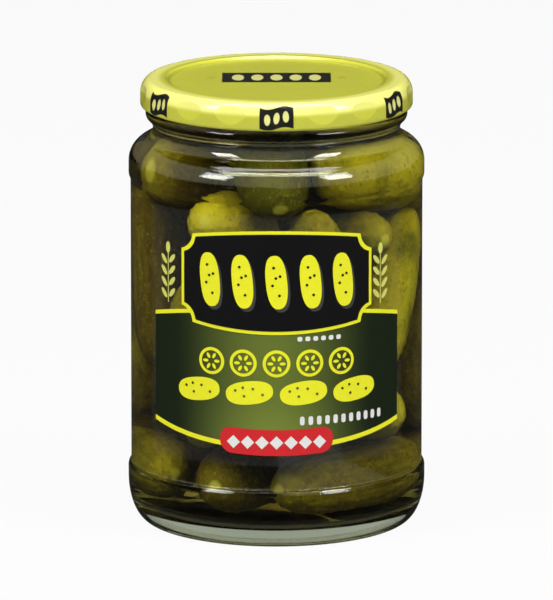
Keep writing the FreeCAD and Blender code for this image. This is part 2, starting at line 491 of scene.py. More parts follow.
def glass_material(looks):
    material, board = new_material("clear_glass")
    spot = place(board)
    ripple = board.noise(spot, 0.055, 2.0)
    normal = bump(board, ripple, 0.5 * MM, 0.12)
    values = {"Color": looks.glass_deep, "Density": looks.glass_depth}
    depth = board.node("ShaderNodeVolumeAbsorption", None, values)
    surface(board, clear_body(board, looks.glass_colour, GLASS_POLISH, GLASS_IOR, normal), depth)
    return material


def brine_material(looks):
    material, board = new_material("brine")
    values = {"Color": looks.murk_colour, "Density": looks.murk}
    murk = board.node("ShaderNodeVolumeAbsorption", None, values)
    surface(board, clear_body(board, looks.brine_colour, 0.0, BRINE_IOR), murk)
    return material


def merged_copy(node, name):
    """A copy of a CAD node's mesh, welded, with its normals pointing out."""
    shape = bmesh.new()
    shape.from_mesh(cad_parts[node].data)
    bmesh.ops.remove_doubles(shape, verts=shape.verts, dist=1e-6)
    bmesh.ops.dissolve_degenerate(shape, edges=shape.edges, dist=1e-7)
    bmesh.ops.recalc_face_normals(shape, faces=shape.faces)
    mesh = bpy.data.meshes.new(name)
    shape.to_mesh(mesh)
    shape.free()
    mesh.polygons.foreach_set("use_smooth", [True] * len(mesh.polygons))
    mesh.update()
    return mesh


class JAR_OT_glass(bpy.types.Operator):
    """Gives the glass jar its clear, faintly rippled glass"""

    bl_idname = "pickle_jar.glass"
    bl_label = "Finish the glass"

    def execute(self, context):
        dress("glass_jar", glass_material(context.scene.jar_looks))
        return {"FINISHED"}


class JAR_OT_brine(bpy.types.Operator):
    """Makes the brine, which reaches just into the glass wall"""

    bl_idname = "pickle_jar.brine"
    bl_label = "Pour the brine"

    def execute(self, context):
        looks = context.scene.jar_looks
        mesh = merged_copy("brine", "pickle_brine")
        points = np.empty(len(mesh.vertices) * 3, dtype=np.float32)
        outward = np.empty(len(mesh.vertices) * 3, dtype=np.float32)
        mesh.vertices.foreach_get("co", points)
        mesh.vertex_normals.foreach_get("vector", outward)
        mesh.vertices.foreach_set("co", points + outward * looks.reach)
        mesh.update()
        piece = bpy.data.objects.new("pickle_brine", mesh)
        context.scene.collection.objects.link(piece)
        mesh.materials.append(brine_material(looks))
        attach(piece, "root")
        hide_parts("brine")
        return {"FINISHED"}


def dress(node, material):
    """Puts one material on a CAD node."""
    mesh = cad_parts[node].data
    mesh.materials.clear()
    mesh.materials.append(material)


# ---- gherkins ----

# One gherkin as it is laid in: the bearing of its middle from the front, how far in from
# touching the wall it lies, the height of its middle, how far its axis turns from the tangent
# towards the wall, how far it leans up, its length and thickness, how pale it is, how firmly
# it keeps its place, and how green it is. Degrees and millimetres. How pale a gherkin is, is
# partly its own tone and partly painted light and shade: the gherkins on the right are mostly
# set paler and those on the left darker, as the light falls on them.
Gherkin = namedtuple(
    "Gherkin", "bearing inset height turn lean length thick pale hold green", defaults=(0.35,)
)

LAID_BY_HAND = (
    Gherkin(-75, 0, 113.6, 90, 2, 36, 21.5, 0.22, 1.0, 0.0),
    Gherkin(-27, 0, 100.5, 90, 14, 36, 20.4, 0.98, 1.0, 0.2),
    Gherkin(6, 0, 116.5, 90, -7, 35, 20.8, -0.30, 1.0, 1.0),
    Gherkin(75, 0, 113.8, 0, -5, 46, 21.6, 1.1, 1.0, 0.3),
    Gherkin(25, 0, 80, 0, 86, 52, 19.6, 0.45, 0.7),
    Gherkin(58, 0, 100, 90, 0, 40, 16.0, 0.60, 0.5),
    Gherkin(66, 0, 79, 0, 62, 54, 20.5, 1.35, 1.0),
    Gherkin(-76, 0, 82, 0, -70, 56, 20.5, 0.10, 0.7, 0.2),
    Gherkin(-21, 0, 18.5, 90, 1, 46, 21.6, 0.05, 1.0, 0.3),
    Gherkin(51, 0, 18.8, 0, 2, 54, 22.0, 0.36, 1.0, 0.2),
    Gherkin(62, 0, 36, 90, -3, 44, 17.5, 1.05, 1.0),
    Gherkin(-88, 0, 18.5, 0, 3, 43, 20.5, 0.45, 0.9, 0.2),
)


def laid_by_rule(chance):
    """The rest: a standing ring, a standing middle, and lying layers at the back."""
    rest = []
    for bearing in (-148, -110, -43, -8, 116, 164):
        rest.append(
            Gherkin(
                bearing, 0, 59 + chance.uniform(-3, 3), 0, chance.uniform(78, 102),
                chance.uniform(52, 58), chance.uniform(19, 20.5), chance.uniform(0.4, 0.95), 0.1,
            )
        )
    for bearing in (10, 190):
        rest.append(Gherkin(bearing, 22, 60, 0, 86, 54, 19.0, chance.uniform(0.2, 0.6), 0.05))
    for height, bearings in ((19, (128, 176)), (97, (130, -160)), (117, (128, -157))):
        for bearing in bearings:
            rest.append(
                Gherkin(
                    bearing, 0, height + chance.uniform(-1, 1), chance.uniform(-8, 8),
                    chance.uniform(-8, 8), chance.uniform(44, 50), chance.uniform(18.5, 20.5),
                    chance.uniform(0.35, 0.9), 0.1,
                )
            )
    return rest


def ends_of(gherkin):
    """The two points that its rounded ends are centred on, in millimetres."""
    bearing = math.radians(gherkin.bearing)
    outward = Vector((math.sin(bearing), -math.cos(bearing), 0.0))
    along = Vector((math.cos(bearing), math.sin(bearing), 0.0))
    up = Vector((0.0, 0.0, 1.0))
    turn = math.radians(gherkin.turn)
    lean = math.radians(gherkin.lean)
    level = along * math.cos(turn) + outward * math.sin(turn)
    axis = level * math.cos(lean) + up * math.sin(lean)
    half = 0.5 * (gherkin.length - gherkin.thick)
    limit = INNER_RADIUS - gherkin.thick * 0.5 - 1.0 - gherkin.inset
    across = half * abs(axis.dot(along))
    reach = math.sqrt(max(limit**2 - across**2, 0.0)) - half * abs(axis.dot(outward))
    middle = outward * max(reach, 0.0) + up * gherkin.height
    return middle - axis * half, middle + axis * half


BALLS = 5  # balls along each gherkin that stand for it while it settles
SQUASH = 0.965  # how near two balls may come, as a share of their radii together
WALL_ROOM = 0.60  # room between a ball and the glass, in millimetres
ROUNDS = 420
FREE_ROUNDS = 150  # the last rounds, in which nothing is pulled back to its place
DEEPEST_PRESS = 6.0
PUSH = 0.45
WALL_PUSH = 0.8
HOLD = 0.22


def settle(gherkins, wall):
    """Lets the gherkins push each other and the wall away until they lie side by side."""
    ends = np.array([[tuple(p) for p in ends_of(g)] for g in gherkins])
    start = ends.copy()
    cores = np.array([g.length - g.thick for g in gherkins])
    radii = np.array([g.thick * 0.5 for g in gherkins])
    holds = np.array([g.hold for g in gherkins])
    shares = np.linspace(0.0, 1.0, BALLS)
    owner = np.repeat(np.arange(len(gherkins)), BALLS)
    ball_radii = radii[owner]
    reach = (ball_radii[:, None] + ball_radii[None, :]) * SQUASH
    apart = owner[:, None] != owner[None, :]
    for step in range(ROUNDS):
        balls = ends[:, :1] * (1.0 - shares)[None, :, None] + ends[:, 1:] * shares[None, :, None]
        balls = balls.reshape(-1, 3)
        between = balls[:, None, :] - balls[None, :, :]
        gaps = np.linalg.norm(between, axis=2) + 1e-6
        press = np.where(apart, np.clip(reach - gaps, 0.0, DEEPEST_PRESS), 0.0)
        push = (between / gaps[:, :, None] * (press * 0.5)[:, :, None]).sum(axis=1)
        push *= PUSH
        for i, ball in enumerate(balls):
            spot, outward, _, _ = wall.find_nearest(Vector(ball) * MM)
            spot = np.array(spot) / MM
            outward = np.array(outward)
            depth = float(np.dot(spot - ball, outward))
            need = ball_radii[i] + WALL_ROOM
            if depth < need:
                push[i] -= outward * (need - depth) * WALL_PUSH
        push = push.reshape(-1, BALLS, 3)
        ends[:, 0] += (push * (1.0 - shares)[None, :, None]).sum(axis=1) * 0.5
        ends[:, 1] += (push * shares[None, :, None]).sum(axis=1) * 0.5
        if step < ROUNDS - FREE_ROUNDS:
            ends += (start - ends) * (holds * HOLD)[:, None, None]
        middle = ends.mean(axis=1)
        axis = ends[:, 1] - ends[:, 0]
        axis /= np.linalg.norm(axis, axis=1)[:, None] + 1e-9
        ends[:, 0] = middle - axis * (cores * 0.5)[:, None]
        ends[:, 1] = middle + axis * (cores * 0.5)[:, None]
    return ends


AROUND = 90  # points round a gherkin
ALONG = 76  # steps from one end of it to the other
END_POWER = 2.6  # how late its outline turns in towards an end
END_ROUND = 0.49  # how full the end is
RIB_DEPTH = 0.018
OVAL_DEPTH = 0.012


def gherkin_mesh(low, high, radius, chance):
    """Points, faces and skin values of one gherkin whose rounded ends sit on low and high."""
    low = Vector(low)
    high = Vector(high)
    axis = (high - low).normalized()
    tail = low - axis * radius
    reach = (high - low).length + 2.0 * radius
    side = axis.orthogonal().normalized()
    other = axis.cross(side)
    ribs = chance.integers(3, 6)
    phase = chance.uniform(0.0, math.tau)
    waist = chance.uniform(-0.05, 0.05)
    taper = chance.uniform(-0.06, 0.06)
    shift = chance.uniform(0.0, 400.0, 3)
    points = [tail]
    skins = [(0.0, 0.0, 0.0)]
    for i in range(1, ALONG):
        t = 0.5 - 0.5 * math.cos(math.pi * i / ALONG)
        end = abs(2.0 * t - 1.0)
        swell = radius * (1.0 - end**END_POWER) ** END_ROUND
        swell *= 1.0 + taper * (2.0 * t - 1.0) + waist * math.cos(math.tau * t)
        for j in range(AROUND):
            angle = math.tau * j / AROUND
            rib = 1.0 + RIB_DEPTH * math.cos(ribs * angle + phase + 1.3 * t)
            rib += OVAL_DEPTH * math.sin(2.0 * angle + 5.0 * t + phase)
            out = side * math.cos(angle) + other * math.sin(angle)
            points.append(tail + axis * (reach * t) + out * (swell * rib))
            skins.append((math.cos(angle) * swell, math.sin(angle) * swell, reach * t))
    points.append(tail + axis * reach)
    skins.append((0.0, 0.0, reach))
    faces = []
    last = len(points) - 1
    for j in range(AROUND):
        k = (j + 1) % AROUND
        faces.append((0, 1 + k, 1 + j))
        for i in range(ALONG - 2):
            a = 1 + i * AROUND
            faces.append((a + j, a + k, a + AROUND + k, a + AROUND + j))
        a = 1 + (ALONG - 2) * AROUND
        faces.append((a + j, a + k, last))
    tips = [min(s[2], reach - s[2]) for s in skins]
    skins = [tuple(np.array(s) + shift) for s in skins]
    return points, faces, skins, tips


def gherkin_material(looks):
    material, board = new_material("gherkin_skin")

    def kept(name, pick="Fac"):
        return board.node("ShaderNodeAttribute", {"attribute_name": name}, None, pick)

    skin = kept("skin", "Vector")
    pale = kept("pale")
    greenness = kept("green")
    wart = kept("wart")
    end = kept("end")
    broad = board.noise(skin, 0.06, 3.0)
    streaks = board.noise(skin * (1.0, 1.0, 0.14), 0.50, 3.0)
    blotch = board.noise(skin, 0.32, 4.0, 0.6)
    fine = board.noise(skin, 0.95, 4.0, 0.62)
    # pale is partly each gherkin's own tone and partly painted light and shade, set gherkin by
    # gherkin.
    tone = pale + (broad - 0.5) * 0.9 + (streaks - 0.5) * 0.7 + (blotch - 0.5) * 0.5
    green = board.split(broad.also("Color"))[1] + (greenness - 0.35) * 0.45
    brown = board.split(blotch.also("Color"))[0].ramp(0.50, 0.68)
    plain = 1.0 - board.most(pale, greenness) * 0.75
    foot = wart.ramp(0.02, 0.30) * (1.0 - wart.ramp(0.30, 0.7))
    blush = 1.0 - end.ramp(0.4, 7.0)
    scar = 1.0 - end.ramp(0.06, 0.50)
    colour = looks.dark
    for wash, share in (
        (looks.light, tone.ramp(-0.1, 1.25)),
        (looks.green, green.ramp(0.42, 0.72) * 0.8),
        (looks.brown, brown * plain * 0.6),
        (looks.speck, fine.ramp(0.54, 0.70) * 0.50),
        (looks.light, (1.0 - fine.ramp(0.30, 0.42)) * 0.35),
        (looks.tip, foot * 0.07),
        (looks.wart, wart.ramp(0.45, 1.0) * (0.25 + fine * 0.9)),
        (looks.light, blush * (0.12 + pale * 0.3)),
        (looks.tip, scar * 0.85),
    ):
        colour = board.mix(colour, wash, share)
    roughness = 0.42 + (fine - 0.5) * 0.22 - wart * 0.06
    normal = bump(board, fine * 0.5 + streaks * 0.3 + blotch * 0.6, 0.9 * MM, 0.7)
    values = {"Base Color": colour, "Roughness": roughness, "IOR": 1.40, "Normal": normal}
    opaque(board, {**values, "Specular IOR Level": 0.05})
    return material


# The pieces that the gherkins are shared out to, by the height of their middles, millimetres.
LAYERS = (("gherkins_low", 0, 42), ("gherkins_middle", 42, 82), ("gherkins_high", 82, 150))


class JAR_OT_gherkins(bpy.types.Operator):
    """Packs the gherkins into the brine and gives them warty skins"""

    bl_idname = "pickle_jar.gherkins"
    bl_label = "Pack the gherkins"

    def execute(self, context):
        looks = context.scene.gherkin_looks
        chance = np.random.default_rng(looks.seed)
        brine = merged_copy("brine", "inside")
        brine.calc_loop_triangles()
        wall = BVHTree.FromPolygons(
            [v.co for v in brine.vertices], [tuple(t.vertices) for t in brine.loop_triangles]
        )
        bpy.data.meshes.remove(brine)
        gherkins = list(LAID_BY_HAND) + laid_by_rule(chance)
        ends = settle(gherkins, wall)
        heights = ends.mean(axis=1)[:, 2]
        material = gherkin_material(looks)
        tree = warty_tree()
        for name, low, high in LAYERS:
            chosen = [i for i, h in enumerate(heights) if low <= h < high]
            piece = self.batch(name, [gherkins[i] for i in chosen], ends[chosen], chance)
            through_nodes(
                piece,
                tree,
                {
                    "Spacing": looks.wart_spacing,
                    "Width": looks.wart_width,
                    "Height": looks.wart_height,
                    "Seed": looks.seed,
                    "Material": material,
                },
            )
            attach(piece, "root")
        return {"FINISHED"}

    def batch(self, name, gherkins, ends, chance):
        """One mesh of several gherkins, with the values that their skin reads."""
        points, faces, skins = [], [], []
        values = {"end": [], "pale": [], "green": []}
        for gherkin, (low, high) in zip(gherkins, ends):
            made = gherkin_mesh(low, high, gherkin.thick * 0.5, chance)
            faces += [tuple(i + len(points) for i in face) for face in made[1]]
            points += [p * MM for p in made[0]]
            skins += made[2]
            values["end"] += made[3]
            values["pale"] += [gherkin.pale] * len(made[0])
            values["green"] += [gherkin.green] * len(made[0])
        piece = new_piece(name, points, faces)
        attributes = piece.data.attributes
        skin = attributes.new("skin", "FLOAT_VECTOR", "POINT")
        skin.data.foreach_set("vector", np.array(skins, dtype=np.float32).ravel())
        for title, numbers in values.items():
            attributes.new(title, "FLOAT", "POINT").data.foreach_set("value", numbers)
        return piece


# ---- lid ----

# The printing on the lid, in millimetres.
SHAPE_STEP = 3.0  # half the way from one gherkin shape on the bar to the next
SHAPE_WIDE, SHAPE_DEEP = 1.9, 4.6  # half of a shape's width and depth
SHAPES_END = 14.5  # from the bar's middle to the end of its row
DOT_PLACE = 20.4  # from the bar's middle to each faint dot
DOT_RADIUS = 1.45
FLAG_WAVE = 0.55  # how far a flag waves up and down
FLAG_DROP = 0.15  # how far the flags lie under the skirt's middle
SKIRT_FROM = 39.0  # the radius outside which the flags are printed
ROUND_STEP = 1.45  # half the way from one round on a flag to the next
ROUND_WIDE, ROUND_HIGH = 0.95, 1.7  # half of a round's width and height
ROUNDS_END = 4.15  # from a flag's middle to the end of its rounds


def bar_on_disc(board, looks, x, y):
    """The bar on the disc, its row of five gherkin shapes and a faint dot at each side."""
    u = abs(x)
    v = abs(y - looks.bar_back / MM)
    wide = looks.bar_width / MM * 0.5
    deep = looks.bar_depth / MM * 0.5
    bar = board.least(u.within(wide, 0.15), v.within(deep, 0.15))
    cell = board.maths("PINGPONG", x + SHAPE_STEP, SHAPE_STEP) / SHAPE_WIDE
    shapes = board.length(board.join(SHAPE_STEP / SHAPE_WIDE - cell, v / SHAPE_DEEP, 0.0))
    row = shapes.within(1.0, 0.06) * u.within(SHAPES_END, 0.1)
    mark = board.length(board.join(u - DOT_PLACE, v, 0.0)).within(DOT_RADIUS, 0.25)
    return bar, row, mark


def flags_on_skirt(board, looks, x, y, z, radius):
    """The waving flags round the skirt, and three rounds on each."""
    across = math.tau / looks.flags
    angle = board.maths("ARCTAN2", x, -y)
    turn = board.maths("PINGPONG", angle + math.tau, across * 0.5) * (LID_RADIUS / MM)
    side = board.node(
        "ShaderNodeMath", {"operation": "WRAP"}, {0: angle, 1: across * 0.5, 2: -across * 0.5}
    ) * (LID_RADIUS / MM)
    wide = looks.flag_width / MM * 0.5
    high = looks.flag_height / MM * 0.5
    wave = board.maths("SINE", side * (math.tau / (wide * 2.0))) * FLAG_WAVE
    rise = abs(z - ((LID_LOW.z + LID_HIGH.z) * 0.5 / MM - FLAG_DROP) - wave)
    rim = radius.ramp(SKIRT_FROM, SKIRT_FROM + 0.3)
    flag = rim * board.least(turn.within(wide, 0.12), rise.within(high, 0.12))
    step = board.maths("PINGPONG", side + 20.0 * ROUND_STEP, ROUND_STEP)
    rounds = board.length(board.join(step / ROUND_WIDE, rise / ROUND_HIGH, 0.0))
    return flag, rounds.within(1.0, 0.1) * turn.within(ROUNDS_END, 0.05) * flag


def lid_material(looks):
    """Enamel with a painted highlight on its corner and painted shade in the step round the disc,
    with the bar and the flags printed on it.
    """
    material, board = new_material("lid_enamel")
    spot = place(board)
    x, y, z = board.split(spot)
    radius = board.length(board.join(x, y, 0.0))
    top = LID_HIGH.z / MM
    on_disc = z.ramp(top - 3.0, top - 2.9)
    bar, row, mark = bar_on_disc(board, looks, x, y)
    bar = bar * on_disc
    flag, rounds = flags_on_skirt(board, looks, x, y, z, radius)
    ink = board.most(bar, flag)
    cloud = board.noise(spot, 0.06, 2.0)
    worn = board.noise(spot, 1.8, 3.0)
    # Painted shade in the recessed step round the disc.
    groove = radius.ramp(32.6, 33.3) * radius.within(34.1, 0.4) * on_disc
    enamel = board.mix(looks.enamel, looks.cloud, cloud.ramp(0.35, 0.7) * 0.5)
    # Painted highlight: the rounded corner between disc and skirt is made paler, standing in for a
    # lamp's sheen.
    corner = radius.ramp(35.2, 37.6) * z.ramp(top - 4.4, top - 2.9)
    enamel = board.mix(enamel, looks.corner, corner * 0.95)
    enamel = board.mix(enamel, looks.groove, board.most(groove * 0.55, mark * 0.35))
    colour = board.mix(enamel, looks.ink, ink)
    colour = board.mix(colour, looks.marks, board.most(row * bar, rounds))
    peel = board.noise(spot, 1.1, 2.0)
    values = {
        "Base Color": colour,
        "Roughness": 0.30 + (worn - 0.5) * 0.14 + ink * 0.06,
        "Coat Weight": 0.9,
        "Coat Roughness": 0.18,
        "Normal": bump(board, peel, 0.06 * MM, 0.5),
    }
    opaque(board, values)
    return material


class JAR_OT_lid(bpy.types.Operator):
    """Enamels and prints the twist lid"""

    bl_idname = "pickle_jar.lid"
    bl_label = "Enamel the lid"

    def execute(self, context):
        dress("twist_lid", lid_material(context.scene.lid_looks))
        return {"FINISHED"}


# ---- label ----


def film_material():
    """Clear film: a faint sheen and nothing else."""
    material, board = new_material("clear_film")
    spot = place(board)
    haze = board.noise(spot, 0.12, 2.0)
    values = {
        "Base Color": (0.80, 0.82, 0.76),
        "Roughness": 0.16,
        "Alpha": 0.004 + haze * 0.008,
        "Normal": bump(board, haze, 0.2 * MM, 0.3),
    }
    opaque(board, values)
    return material


def ink_material(name, colour, edge=None, reach=None):
    """Printing ink: even colour with a trace of grain; edge darkens it towards the sides."""
    material, board = new_material(name)
    spot = place(board)
    grain = board.noise(spot, 1.3, 3.0)
    shade = board.mix(tuple(c * 0.97 for c in colour), colour, grain.ramp(0.3, 0.7))
    if edge is not None:
        x, y, z = board.split(spot)
        angle = abs(board.maths("ARCTAN2", x + 1.5, -y)) * (FILM_RADIUS / MM)
        fade = angle.ramp(0.0, reach / MM * 0.78)
        low = 1.0 - z.ramp(34.0, 52.0) * 0.30
        shade = board.mix(shade, edge, 1.0 - (1.0 - fade) * low)
    roughness = 0.34 + (grain - 0.5) * 0.16
    normal = bump(board, grain, 0.03 * MM, 0.3)
    opaque(board, {"Base Color": shade, "Roughness": roughness, "Normal": normal})
    return material


INK = 0.03  # thickness of a printed shape, and its clearance from the film, in millimetres
LAYER = 0.06  # how far each layer of print stands out from the one under it


def band(low, high, left, right, layer, columns=64):
    """A flat printed field between two curves, as a thin closed plate (millimetres)."""
    xs = [left + (right - left) * i / columns for i in range(columns + 1)]
    bottom = layer * LAYER + INK
    top = bottom + INK
    points = []
    for x in xs:
        a = low(x)
        b = max(high(x), a + 0.02)
        points += [(x, a, bottom), (x, b, bottom), (x, b, top), (x, a, top)]
    faces = [(0, 3, 2, 1)]
    for i in range(columns):
        a = 4 * i
        b = a + 4
        faces += [
            (a, b, b + 3, a + 3),
            (a + 3, b + 3, b + 2, a + 2),
            (a + 2, b + 2, b + 1, a + 1),
            (a + 1, b + 1, b, a),
        ]
    a = 4 * columns
    faces.append((a, a + 1, a + 2, a + 3))
    return points, faces


def blob(outline, layer, centre=(0.0, 0.0), rings=3):
    """A flat printed shape round a centre, as a thin closed plate (millimetres)."""
    count = len(outline)
    bottom = layer * LAYER + INK
    points = []
    faces = []
    for height in (bottom + INK, bottom):
        points.append((centre[0], centre[1], height))
        for ring in range(1, rings + 1):
            share = ring / rings
            points += [(centre[0] + x * share, centre[1] + y * share, height) for x, y in outline]
    under = 1 + rings * count
    for j in range(count):
        k = (j + 1) % count
        faces.append((0, 1 + j, 1 + k))
        faces.append((under, under + 1 + k, under + 1 + j))
        for ring in range(rings - 1):
            a = 1 + ring * count
            b = a + count
            faces.append((a + j, b + j, b + k, a + k))
            faces.append((under + a + j, under + a + k, under + b + k, under + b + j))
        a = 1 + (rings - 1) * count
        faces.append((a + j, under + a + j, under + a + k, a + k))
    return points, faces


def oval(width, height, turn=0.0, count=28, power=2.0):
    """Outline of an oval or, with a higher power, of a rounded bar."""
    made = []
    for i in range(count):
        c = math.cos(math.tau * i / count)
        s = math.sin(math.tau * i / count)
        x = 0.5 * width * math.copysign(abs(c) ** (2.0 / power), c)
        y = 0.5 * height * math.copysign(abs(s) ** (2.0 / power), s)
        made.append(
            (x * math.cos(turn) - y * math.sin(turn), x * math.sin(turn) + y * math.cos(turn))
        )
    return made


def dots(layer, places):
    """Small round spots."""
    return [blob(oval(0.9, 0.9, 0.0, 8), layer, at, 1) for at in places]


def together(shapes):
    """Several printed shapes as one mesh, in metres."""
    points = []
    faces = []
    for made, sides in shapes:
        faces += [tuple(i + len(points) for i in side) for side in sides]
        points += [Vector(p) * MM for p in made]
    return points, faces


# The artwork is laid out in millimetres: x along the arc from the front, and the height.


def panel_top(x):
    return 76.0 - 4.8 * (x / PANEL_HALF) ** 2


def panel_foot(x):
    return 33.6 + 5.4 * (x / PANEL_HALF) ** 2


def raised(curve, rise):
    """The same curve, higher up."""
    return lambda x: curve(x) + rise


PLAQUE_TOP = 97.5
PLAQUE_FOOT = 72.8
PLAQUE_BOW = 3.0
NOTCH = 4.2  # radius of the bite out of each corner of the plaque


def plaque_edges(half, grow):
    """The plaque's lower and upper edge; grow is the border's width, or nothing."""

    def notch(x):
        inset = half + grow - abs(x)
        return math.sqrt(NOTCH**2 - inset**2) if inset < NOTCH else 0.0

    def bow(x):
        return PLAQUE_BOW * (1.0 - (x / half) ** 2)

    def foot(x):
        return PLAQUE_FOOT - bow(x) - grow + notch(x)

    def top(x):
        return PLAQUE_TOP + bow(x) + grow - notch(x)

    return foot, top


PILL_END = 18.0
PILL_STRAIGHT = 14.2
PILL_ROUND = 3.8
PILL_HALF = 4.1


def pill_edge(side):
    """The upper (1) or lower (-1) edge of the red band, rounded at its ends."""

    def edge(x):
        over = max(abs(x) - PILL_STRAIGHT, 0.0) / PILL_ROUND
        half = max(PILL_HALF * math.sqrt(max(1.0 - over**2, 0.0)), 0.02)
        return 34.4 + 0.9 * (x / PILL_END) ** 2 + side * half

    return edge


def sprig(centre, flip):
    """A stem with a bud and pairs of leaves."""
    stem = band(lambda x: 76.0, lambda x: 92.0, centre - 0.16, centre + 0.16, 0, 2)
    made = [stem, blob(oval(1.9, 3.6, 0.0, 16), 1, (centre, 93.4), 2)]
    for i in range(4):
        height = 79.0 + 3.6 * i
        for side in (-1.0, 1.0):
            leaf = oval(3.7, 1.5, side * 0.85, 16)
            made.append(blob(leaf, 1, (centre + side * 1.75, height + 0.25 * flip * side), 2))
    return made


Row = namedtuple("Row", "count pitch level")
SHADOWS = Row(5, 10.6, 85.1)
GHERKINS = Row(5, 10.6, 85.4)
SLICES = Row(5, 10.4, 59.6)
LYING = Row(4, 17.0, 50.2)
DASHES = Row(6, 2.5, 67.3)
TICKS = Row(11, 2.7, 41.3)
LOZENGES = Row(7, 4.5, 34.5)


class Artwork:
    """Lays printed shapes on the film, each ink as its own piece."""

    def __init__(self):
        self.wrap = wrap_tree()
        self.rows = row_tree()

    def lay(self, name, material, shapes):
        """One piece of shapes that are already in their places."""
        self.keep(name, shapes, self.wrap, {"Material": material})

    def repeat(self, name, material, row, shapes):
        """One piece of shapes that are repeated along a row."""
        values = {
            "Count": row.count,
            "Pitch": row.pitch * MM,
            "Level": row.level * MM,
            "Material": material,
        }
        self.keep(name, shapes, self.rows, values)

    def keep(self, name, shapes, tree, values):
        piece = new_piece(name, *together(shapes), smooth=False)
        through_nodes(piece, tree, {"Radius": FILM_RADIUS, **values})
        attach(piece, "root")


class JAR_OT_label(bpy.types.Operator):
    """Clears the film and prints the label's fields and shapes on it"""

    bl_idname = "pickle_jar.label"
    bl_label = "Print the label"

    def execute(self, context):
        looks = context.scene.label_looks
        dress("label_film", film_material())
        art = Artwork()
        reach = looks.panel_reach / MM
        half = looks.plaque_reach / MM
        border = looks.border / MM
        rim = half + border
        green = ink_material("green_ink", looks.green, looks.green_edge, looks.panel_reach)
        yellow = ink_material("yellow_ink", looks.yellow)
        black = ink_material("black_ink", looks.black)
        red = ink_material("red_ink", looks.red)
        white = ink_material("white_ink", looks.white)
        grey = ink_material("grey_ink", looks.grey)
        pale = ink_material("pale_ink", looks.pale)

        art.lay("print_panel", green, [band(panel_foot, panel_top, -reach, reach, 0)])
        rules = [
            band(raised(panel_top, -0.1), raised(panel_top, 1.15), -reach, reach, 1),
            band(raised(panel_foot, -1.4), raised(panel_foot, 0.1), -reach, reach, 1),
        ]
        art.lay("print_rules", yellow, rules)
        edges = plaque_edges(half, border)
        art.lay("print_plaque_border", yellow, [band(*edges, -rim, rim, 2, 240)])
        art.lay("print_plaque", black, [band(*plaque_edges(half, 0.0), -half, half, 3, 240)])

        tall = oval(6.6, 17.0, 0.10, 32, 2.5)
        art.repeat("print_shadows", grey, SHADOWS, [blob(tall, 4, (0.8, -0.7), 4)])
        art.repeat("print_gherkins", yellow, GHERKINS, [blob(tall, 5, (0.0, 0.0), 4)])
        warts = dots(6, ((-0.9, 4.6), (1.1, 1.9), (-1.2, -1.0), (0.9, -4.2), (-0.2, 1.3)))
        art.repeat("print_warts", black, GHERKINS, warts)

        peel = oval(8.6, 8.6, 0.0, 32)
        art.repeat("print_slices", yellow, SLICES, [blob(peel, 1, (0.0, 0.0), 4)])
        art.repeat("print_slice_flesh", green, SLICES, [blob(oval(6.6, 6.6), 2)])
        seeds = []
        for i in range(6):
            turn = math.tau * i / 6
            seed = oval(1.9, 1.0, turn, 12)
            seeds.append(blob(seed, 3, (1.9 * math.cos(turn), 1.9 * math.sin(turn)), 1))
        art.repeat("print_seeds", yellow, SLICES, seeds)

        lying = oval(15.0, 7.4, 0.12, 36, 2.4)
        art.repeat("print_lying", yellow, LYING, [blob(lying, 1, (0.0, 0.0), 5)])
        spots = dots(2, ((-4.4, 0.6), (-1.6, -1.1), (1.2, 1.3), (4.2, -0.5), (-2.0, 1.6)))
        art.repeat("print_lying_spots", green, LYING, spots)

        dash = blob(oval(1.6, 1.5, 0.0, 12, 3.0), 1, (13.5, 0.0), 1)
        art.repeat("print_dashes", white, DASHES, [dash])
        tick = blob(oval(1.5, 2.8, 0.0, 12, 3.5), 1, (21.5, 0.0), 1)
        art.repeat("print_ticks", white, TICKS, [tick])
        pill = band(pill_edge(-1.0), pill_edge(1.0), -PILL_END, PILL_END, 2, 96)
        art.lay("print_pill", red, [pill])
        lozenge = [(2.1, 0.0), (0.0, 2.1), (-2.1, 0.0), (0.0, -2.1)]
        art.repeat("print_lozenges", white, LOZENGES, [blob(lozenge, 3, (0.0, 0.0), 2)])
        art.lay("print_sprigs", pale, sprig(-37.6, 1.0) + sprig(35.6, -1.0))
        return {"FINISHED"}


# ---- stage ----


def backdrop_share(board, mirrored):
    """1 for rays that see the plain white backdrop, and a small share for mirrored ones."""
    path = board.node("ShaderNodeLightPath", pick="Is Camera Ray")
    through = path.also("Is Transmission Ray") * (1.0 - board.least(path.also("Diffuse Depth"), 1.0))
    return board.most(board.most(path, through), path.also("Is Glossy Ray") * mirrored)


def floor_material():
    """White floor that keeps the jar's shadow, though only faintly."""
    material, board = new_material("floor_white")
    lit = board.node("ShaderNodeBsdfDiffuse", None, {"Color": (0.52, 0.52, 0.52), "Roughness": 0.0})
    glow = board.node("ShaderNodeEmission", None, {"Color": (1.0, 1.0, 1.0), "Strength": 1.0})
    dark = board.node("ShaderNodeEmission", None, {"Color": (0.0, 0.0, 0.0), "Strength": 0.0})
    mirror = board.node("ShaderNodeLightPath", pick="Is Glossy Ray")
    seen = backdrop_share(board, FLOOR_MIRRORED)
    bright = board.node("ShaderNodeMixShader", None, {0: seen * 0.93, 1: lit, 2: glow})
    surface(board, board.node("ShaderNodeMixShader", None, {0: mirror * 0.95, 1: bright, 2: dark}))
    return material


def aim(thing, target):
    """Turns a lamp towards a point."""
    thing.rotation_euler = (target - thing.location).to_track_quat("-Z", "Y").to_euler()


LENS = 594.2  # focal length in millimetres, on a sensor 36 mm wide
CAMERA_PLACE = (0.0, -3.0266, 0.7516)
SHEEN_RISE = math.radians(88.0)
SHEEN_SHARE = 0.7  # power of the lamp that only shines, as a share of the top lamp's
FLOOR_MIRRORED = 0.04  # how much of the white floor and sky a mirrored ray sees
SKY_MIRRORED = 0.02


